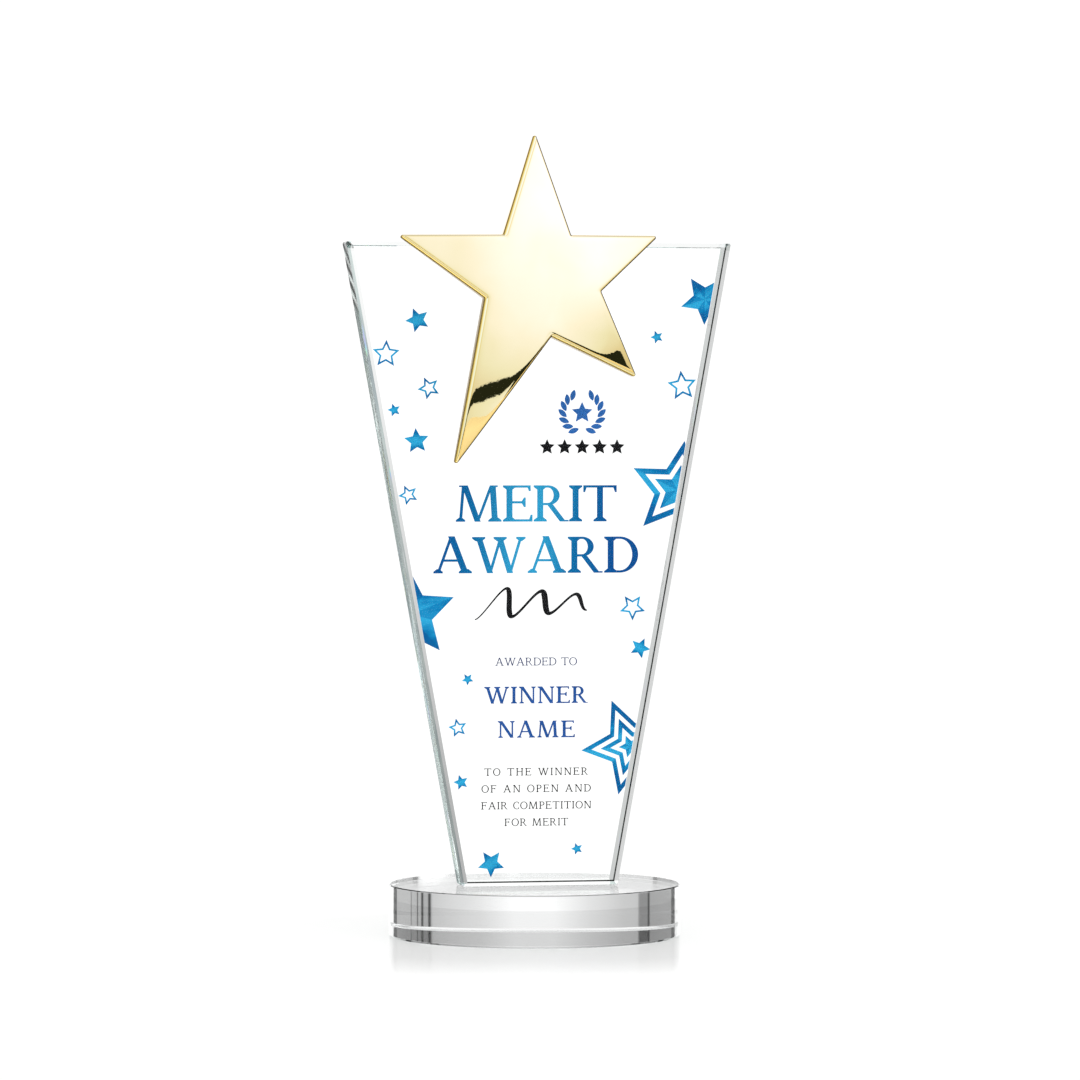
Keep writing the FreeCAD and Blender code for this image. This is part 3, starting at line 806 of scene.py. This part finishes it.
def dress_print():
    """Gives every printed node its ink."""
    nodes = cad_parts
    write_star_places(nodes["print_small_stars"], own_star)
    write_star_places(nodes["print_large_stars"], nearest_large_star)
    royal = plain_ink("royal_blue_print", (0.018, 0.095, 0.31, 1), (0.024, 0.115, 0.36, 1))
    black = plain_ink("black_print", (0.004, 0.004, 0.005, 1), (0.009, 0.009, 0.010, 1))
    inks = {
        "print_title": title_ink(),
        "print_small_stars": star_ink("foil_blue_small_stars", 3.0, 0.0),
        "print_large_stars": star_ink("foil_blue_large_stars", 4.0, 0.35),
        "print_emblem": royal,
        "print_recipient": plain_ink("deep_royal_print", (0.010, 0.055, 0.21, 1), (0.015, 0.070, 0.26, 1)),
        "print_award_line": plain_ink("navy_print", (0.010, 0.020, 0.085, 1), (0.016, 0.028, 0.11, 1)),
        "print_flourish": black,
        "print_rating": black,
        "print_citation": black,
        "print_white_backing": plain_ink("white_print", (0.86, 0.86, 0.85, 1), (0.90, 0.90, 0.89, 1)),
    }
    for name, material in inks.items():
        use_material(nodes[name], material)


# ================================================================ surroundings
# How bright the studio is round the object: degrees from the camera's own line of sight, and the level.
# The left half runs from behind the camera round to straight ahead, the right half from there back round.
STUDIO_LEFT = [
    (-180, 1.40), (-150, 1.10), (-120, 1.00), (-95, 0.95), (-74, 0.95), (-69.8, 0.90), (-69.4, 0.02),
    (-63.2, 0.02), (-62.8, 0.38), (-51, 0.41), (-41, 0.40), (-40.7, 0.04), (-39.7, 0.04), (-39.4, 0.28),
    (-34.6, 0.28), (-34.2, 0.62), (-27, 0.66), (-15, 0.86), (-5, 1.12), (0, 1.12),
]
STUDIO_RIGHT = [
    (0, 1.12), (5, 1.12), (15, 0.86), (30, 0.67), (33.7, 0.62), (33.9, 0.04), (35.3, 0.04), (35.5, 0.44),
    (38.4, 0.44), (38.6, 0.05), (39.6, 0.05), (39.8, 0.48), (41.9, 0.48), (42.1, 0.06), (42.7, 0.06),
    (42.9, 0.48), (46.4, 0.50), (46.6, 0.16), (47.2, 0.16), (47.4, 0.52), (64.0, 0.50), (64.3, 0.02),
    (71.4, 0.02), (73, 1.2), (80, 2.0), (110, 1.9), (150, 1.7), (156, 2.3), (164, 1.9), (167, 1.5),
    (167.8, 1.45), (180, 1.40),
]
# How the studio changes with height: degrees above the horizon, and the share of the level above.
HEIGHTS_BEHIND = [(-90, 0.62), (-40, 0.66), (-24, 0.70), (-14, 1.0), (90, 1.0)]
HEIGHTS_IN_FRONT = [
    (-90, 0.25), (-7, 0.60), (-4.5, 0.64), (-3.6, 0.46), (-3.2, 0.46), (-2.4, 0.52), (-1.2, 0.62),
    (-0.35, 0.66), (0.5, 0.70), (2.1, 0.79), (3.7, 0.82), (7, 0.91), (12, 1.05), (90, 1.0),
]
# The dark gap behind the camera: where its top edge runs, from its left end to its right, in degrees of
# azimuth and elevation; how thick it is at the left and, past the second pair of azimuths, at the right;
# and where its slanting right end lies.
GAP_ENDS = (166.2, 162.6)
GAP_TOPS = (-3.40, -2.30)
GAP_WIDENS = (162.4, 160.4)
GAP_DEPTHS = (1.3, 8.0)
GAP_CUT = (154.2, 154.4)
GAP_SLANT = -0.62
GAP_SOFT = 0.03
WHITE_SEEN = 1.05


def in_degrees(tree, angle, low, high, to_low=0.0, to_high=1.0):
    """map_range from an angle in radians between limits given in degrees."""
    return map_range(tree, angle, math.radians(low), math.radians(high), to_low, to_high)


def band(tree, angle, start, full, fading, end):
    """1 between two angles given in degrees, running down to 0 outside them."""
    return product(tree, in_degrees(tree, angle, start, full), in_degrees(tree, angle, end, fading))


def first_mirror(tree, path):
    """1 for a look that comes off a mirroring surface without having been in the crystal."""
    return product(tree, path["Is Glossy Ray"], math_node(tree, "LESS_THAN", path["Transmission Depth"], 0.5))


def dimmed(tree, colour, share, where):
    """The colour times a share, where the mask says so."""
    factor = math_node(tree, "MULTIPLY_ADD", math_node(tree, "SUBTRACT", share, 1.0), where, 1.0)
    return mix_colour(tree, 1.0, colour, grey_colour(tree, factor), "MULTIPLY")


def by_angle(tree, angle, stops, low, high, scale=1.0):
    """A grey level from an angle in radians; the stops are in degrees."""
    places = [((degrees - low) / (high - low), level / scale) for degrees, level in stops]
    return ramp(tree, in_degrees(tree, angle, low, high), places)


def studio_levels(tree, path, azimuth, elevation, in_front):
    """How bright the studio is in each direction."""
    brightest = max(level for _, level in STUDIO_LEFT + STUDIO_RIGHT)
    walls = mix_colour(tree, math_node(tree, "GREATER_THAN", azimuth, 0.0),
                       by_angle(tree, azimuth, STUDIO_LEFT, -180, 0, brightest),
                       by_angle(tree, azimuth, STUDIO_RIGHT, 0, 180, brightest))
    heights = mix_colour(tree, in_front, by_angle(tree, elevation, HEIGHTS_BEHIND, -90, 90),
                         by_angle(tree, elevation, HEIGHTS_IN_FRONT, -90, 90))
    grey = mix_colour(tree, 1.0, walls, heights, "MULTIPLY")
    # The far edge of the table leaves a duller strip along the horizon, to the right of the sweep.
    bounced = math_node(tree, "GREATER_THAN", path["Glossy Depth"], 0.5)
    straight = math_node(tree, "SUBTRACT", 1.0, bounced)
    dull = product(tree, band(tree, azimuth, 17, 21, 31, 35), in_degrees(tree, elevation, -3, -1), straight)
    grey = dimmed(tree, grey, in_degrees(tree, elevation, 0.5, 7.0, 0.62, 1.4), dull)
    # What the foot's underside mirrors is darker above the table's far edge, most of all beside the sweep;
    # the front light is darker at its low right corner.
    upper = product(tree, path["Is Transmission Ray"], band(tree, elevation, 2.5, 4.5, 20, 30), bounced)
    grey = dimmed(tree, grey, 0.77, upper)
    grey = dimmed(tree, grey, 0.62, product(tree, upper, band(tree, azimuth, 33, 34, 64, 66)))
    grey = dimmed(tree, grey, 0.50, product(tree, upper, band(tree, azimuth, -41, -40.5, -35, -34)))
    corner = product(tree, band(tree, azimuth, 100, 120, 155.5, 159.5), in_front,
                     in_degrees(tree, elevation, 5, 1))
    return product(tree, dimmed(tree, grey, 0.58, corner), brightest)


def warm_light(tree, level):
    """The front light's colour: warm where it is dull, and cooler where it is brighter."""
    red = math_node(tree, "MULTIPLY_ADD", level, 0.31, 0.60)
    green = math_node(tree, "MINIMUM", math_node(tree, "MULTIPLY_ADD", level, 0.58, 0.40),
                      math_node(tree, "MULTIPLY_ADD", level, 0.34, 0.64))
    return node(tree, "ShaderNodeCombineColor", {0: red, 1: green, 2: level}).outputs[0]


def gap_behind_camera(tree, direction, azimuth, elevation):
    """1 in the dark gap between the front light and the table; it climbs and widens to the right."""
    ragged = noise(tree, direction, 60.0, 3.0, 0.6)
    top = in_degrees(tree, azimuth, *GAP_ENDS, *(math.radians(angle) for angle in GAP_TOPS))
    top = math_node(tree, "MULTIPLY_ADD", ragged, math.radians(0.4), top)
    depth = in_degrees(tree, azimuth, *GAP_WIDENS, *(math.radians(angle) for angle in GAP_DEPTHS))
    under = math_node(tree, "SUBTRACT", top, elevation)
    left_in = math_node(tree, "SUBTRACT", depth, under)
    slanting = math_node(tree, "MULTIPLY_ADD", elevation, GAP_SLANT, azimuth)
    past_end = math_node(tree, "MAXIMUM", in_degrees(tree, slanting, *GAP_CUT),
                         math_node(tree, "LESS_THAN", azimuth, 0.0))
    return product(tree, in_degrees(tree, under, -GAP_SOFT, GAP_SOFT),
                   in_degrees(tree, left_in, -GAP_SOFT, GAP_SOFT), past_end)


def studio_world():
    """A white studio: a bright sweep behind the object, grey walls with dark gaps at the sides, and a
    large soft light behind the camera over a dark gap near the horizon. Straight looks see plain white."""
    world = bpy.data.worlds.new("studio")
    bpy.context.scene.world = world
    world.use_nodes = True
    tree = world.node_tree
    tree.nodes.clear()
    direction = node(tree, "ShaderNodeTexCoord").outputs["Generated"]
    x, y, z = split(tree, direction)
    azimuth = math_node(tree, "ADD", math_node(tree, "ARCTAN2", x, y), CAMERA_AZIMUTH)
    azimuth = math_node(tree, "WRAP", azimuth, math.pi, -math.pi)
    elevation = math_node(tree, "ARCSINE", z)
    path = light_path(tree)
    direct = first_mirror(tree, path)
    in_front = map_range(tree, y, -0.2, -0.5)
    direct_in_front = product(tree, in_front, direct)
    level = studio_levels(tree, path, azimuth, elevation, in_front)
    light = mix_colour(tree, direct_in_front, grey_colour(tree, level), warm_light(tree, level))
    light = mix_colour(tree, map_range(tree, z, 0.90, 0.96), light, (0.25, 0.25, 0.25, 1))
    # The table mirrors a brighter part of the sweep than the star does.
    sweep = product(tree, band(tree, elevation, 4, 4.4, 6.6, 7), band(tree, azimuth, -25, -20, 20, 25),
                    direct)
    light = mix_colour(tree, sweep, light, (2.1, 2.1, 2.1, 1))
    # Bent steeply upward through the crystal, a look meets an even white ceiling.
    high = product(tree, path["Is Transmission Ray"], in_degrees(tree, elevation, 18, 24))
    light = mix_colour(tree, high, light, (1.1, 1.1, 1.1, 1))
    gap = product(tree, gap_behind_camera(tree, direction, azimuth, elevation), direct_in_front)
    light = mix_colour(tree, gap, light, (0.018, 0.022, 0.012, 1))
    # Straight through the crystal, from behind or from above, the studio is as white as without it.
    unturned = product(tree, path["Is Transmission Ray"],
                       math_node(tree, "LESS_THAN", path["Glossy Depth"], 0.5))
    other_side = math_node(tree, "MAXIMUM", in_front, in_degrees(tree, elevation, -9, -13))
    light = mix_colour(tree, product(tree, unturned, other_side), light, (0.97, 0.97, 0.97, 1))
    structured = node(tree, "ShaderNodeBackground", {0: light})
    plain = node(tree, "ShaderNodeBackground", {0: (1, 1, 1, 1), 1: WHITE_SEEN})
    shader = mix_shader(tree, path["Is Camera Ray"], structured, plain)
    node(tree, "ShaderNodeOutputWorld", {"Surface": shader.outputs[0]})


TABLE_FRONT_EDGE = -1.60
TABLE_FAR_EDGE = 6.0
TABLE_CLEARANCE = 0.02 * MM
MIRROR_REACH = 0.4


def table_tone(tree, path, place, away, from_axis):
    """The table's matt colour. Looked at straight, it has painted shade close to the foot, so that the soft
    mirror takes the place of some of the white there, and less of this painted shade when looked at from
    higher up; in the star's mirror the near part of the table has a duller, warmer painted shade."""
    tone = mix_colour(tree, noise(tree, place, 6.0, 3.0), (0.93, 0.93, 0.93, 1), (0.96, 0.96, 0.955, 1))
    # Painted shade close to the foot, for straight looks only.
    painted_foot_shade = ramp(tree, away, [(0.12, 0.515), (0.205, 0.535), (0.275, 0.60), (0.32, 0.64), (0.40, 0.68),
                             (1.0, 1.0)])
    low_look = map_range(tree, facing_away(tree), 0.50, 0.84, 0.35, 1.0)
    painted_foot_shade = mix_colour(tree, product(tree, path["Is Camera Ray"], low_look), (1, 1, 1, 1), painted_foot_shade)
    # A duller, warmer painted shade on the near table, shown only in the star's mirror.
    warm = mix_colour(tree, map_range(tree, from_axis, 0.25, 1.2), (0.42, 0.39, 0.28, 1),
                      (0.83, 0.74, 0.54, 1))
    _, y, _ = split(tree, place)
    in_star = product(tree, first_mirror(tree, path), map_range(tree, y, -0.04, -0.12))
    return mix_colour(tree, 1.0, tone, mix_colour(tree, in_star, painted_foot_shade, warm), "MULTIPLY")


def beyond_table(tree, place, from_axis):
    """Looked at through the crystal, the table gives way to the studio beyond it, with a painted shadow of
    the foot close by and painted light in front of the plate."""
    # A painted shadow of the foot close by.
    near = ramp(tree, map_range(tree, from_axis, 0.0, disc_high.x * 3), [(0.83, 0.88), (0.84, 1.0)])
    x, y, _ = split(tree, place)
    front = plate_low.y
    # Painted light in front of the plate.
    painted_light_before_plate = product(tree, map_range(tree, math_node(tree, "ABSOLUTE", x), 0.030, 0.018),
                           map_range(tree, y, front + 2 * MM, front - 2 * MM))
    return node(tree, "ShaderNodeBsdfTransparent", {"Color": dimmed(tree, near, 1.8, painted_light_before_plate)})


def pale_floor():
    """A large white table top that mirrors the foot softly, and less with distance."""
    material, tree = new_material("white_table")
    place = object_position(tree)
    path = light_path(tree)
    from_axis = node(tree, "ShaderNodeVectorMath", {0: place}, operation="LENGTH").outputs["Value"]
    away = map_range(tree, from_axis, 0.0, MIRROR_REACH)
    matt = node(tree, "ShaderNodeBsdfDiffuse", {"Color": table_tone(tree, path, place, away, from_axis)})
    sheen = node(tree, "ShaderNodeBsdfGlossy", {"Color": (1, 1, 1, 1), "Roughness": 0.12})
    amount = ramp(tree, away, [(0.12, 0.18), (0.205, 0.16), (0.275, 0.11), (0.32, 0.06), (0.40, 0.0)])
    top = mix_shader(tree, amount, matt, sheen)
    top = mix_shader(tree, path["Is Transmission Ray"], top, beyond_table(tree, place, from_axis))
    # Looked at straight, it blends into the white sweep a little way off.
    radius = disc_high.x
    far = product(tree, path["Is Camera Ray"],
                  map_range(tree, from_axis, radius * 2.5, radius * 5, smooth=True))
    top = mix_shader(tree, far, top, node(tree, "ShaderNodeBsdfTransparent"))
    set_surface(tree, top.outputs[0])
    mesh = bpy.data.meshes.new("table_top")
    front, side, level = TABLE_FRONT_EDGE, TABLE_FAR_EDGE, disc_low.z - TABLE_CLEARANCE
    mesh.from_pydata([(-side, front, level), (side, front, level), (side, side, level), (-side, side, level)],
                     [], [(0, 1, 2, 3)])
    new_object("table_top", mesh, material)


def overhead_light():
    """One wide soft light overhead, which the crystal and the gold don't show."""
    light = bpy.data.lights.new("overhead", "AREA")
    light.shape = "RECTANGLE"
    light.size, light.size_y = 1.6, 1.6
    light.energy = 24.0
    lamp = bpy.data.objects.new("overhead", light)
    lamp.location = (0.0, -0.1, 1.5)
    bpy.context.scene.collection.objects.link(lamp)
    lamp.visible_glossy = False
    lamp.visible_transmission = False


def camera():
    data = bpy.data.cameras.new("camera")
    data.lens = CAMERA_LENS
    data.sensor_width = 36.0
    cam = bpy.data.objects.new("camera", data)
    a = CAMERA_AZIMUTH
    back = Vector((math.sin(a), -math.cos(a), 0.0))
    right = Vector((math.cos(a), math.sin(a), 0.0))
    cam.location = back * CAMERA_DISTANCE + right * CAMERA_SHIFT + Vector((0, 0, CAMERA_HEIGHT))
    look = -back * math.cos(CAMERA_DIP) - Vector((0, 0, math.sin(CAMERA_DIP)))
    cam.rotation_mode = "QUATERNION"
    cam.rotation_quaternion = look.to_track_quat("-Z", "Y")
    bpy.context.scene.collection.objects.link(cam)
    bpy.context.scene.camera = cam


# ================================================================ build
CLEAR_TINT = (0.995, 1.0, 0.998, 1)
# The plate's upright sides get painted reflections and highlights.
crystal_plate(crystal_material("plate_crystal", CLEAR_TINT, CLEAR_TINT, 0.12), ground_edge_material())
# The foot's underside gets a painted shade of 0.84.
crystal_disc(crystal_material("disc_crystal", (0.955, 0.958, 0.958, 1), (0.84, 0.84, 0.84, 1), 0.0))
gold_star()
dress_print()
film = adhesive_material()
for film_node in ("star_bond", "base_bond"):
    use_material(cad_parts[film_node], film)
studio_world()
pale_floor()
overhead_light()
camera()
scene = bpy.context.scene
scene.view_settings.view_transform = "Standard"
scene.cycles.max_bounces = 24
scene.cycles.transmission_bounces = 24
scene.cycles.glossy_bounces = 16
scene.cycles.transparent_max_bounces = 24
scene.cycles.caustics_refractive = True
